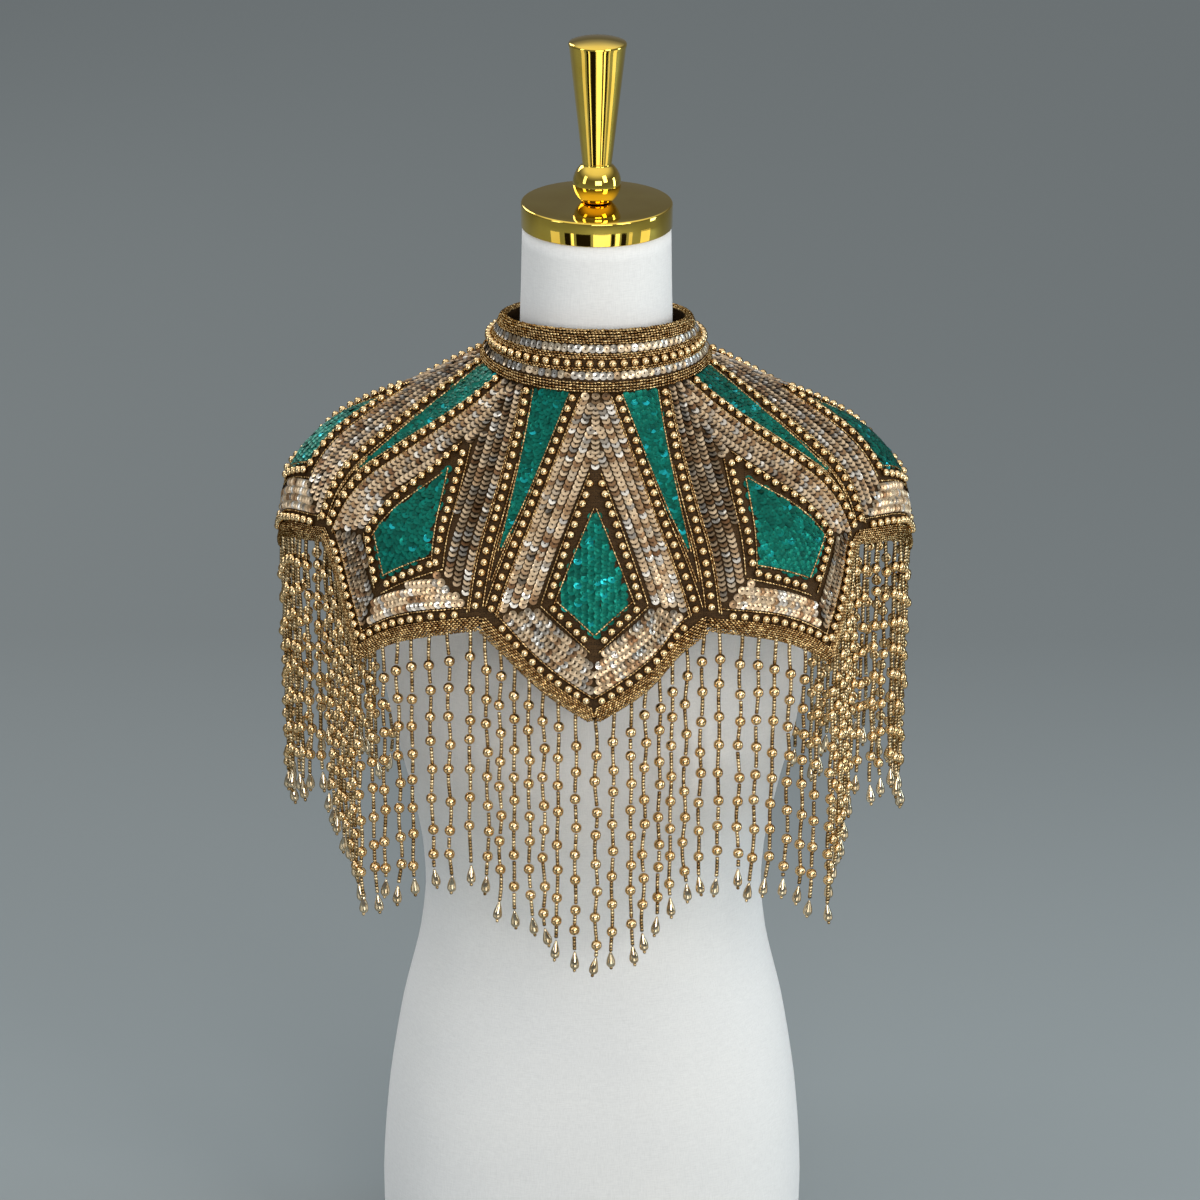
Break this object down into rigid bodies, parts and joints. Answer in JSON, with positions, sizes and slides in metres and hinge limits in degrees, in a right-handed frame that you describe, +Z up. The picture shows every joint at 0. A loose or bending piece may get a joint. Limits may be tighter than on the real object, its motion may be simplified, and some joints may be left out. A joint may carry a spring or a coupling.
{
  "type": "beaded capelet on a limbless dress form",
  "caption": "Beaded petal capelet with a stand collar and long bead fringe, worn by a limbless linen dress form with a gold cap and finial.",
  "frame": {"origin": "centre of the dress form's flat base, on the surface it stands on", "axes": "+Z up along the neck's axis, the front of the capelet faces -Y, +X is the viewer's right from the front"},
  "size_m": [0.4754, 0.344, 1.0163],
  "materials": {
    "linen": "white linen stretched over the form",
    "polished_gold": "mirror polished gold plate",
    "beading": "brown tulle covered with champagne and emerald sequins, gold pearls and seed beads",
    "pearls": "gold plated plastic pearls, buttons and drops",
    "fringe": "gold seed beads, bugles, pearls and teardrops on thread"
  },
  "bodies": {
    "root": {"dress_form": "linen", "neck_cap": "polished_gold", "finial": "polished_gold", "yoke_front": "beading", "yoke_back_right": "beading", "yoke_back_left": "beading", "collar": "beading", "collar_button_1": "pearls", "collar_button_2": "pearls", "fringe_back_left": "fringe", "fringe_side_left": "fringe", "fringe_front_left": "fringe", "fringe_front": "fringe", "fringe_front_right": "fringe", "fringe_side_right": "fringe", "fringe_back_right": "fringe", "fringe_centre_back_right": "fringe", "fringe_centre_back_left": "fringe"}
  },
  "joints": []
}
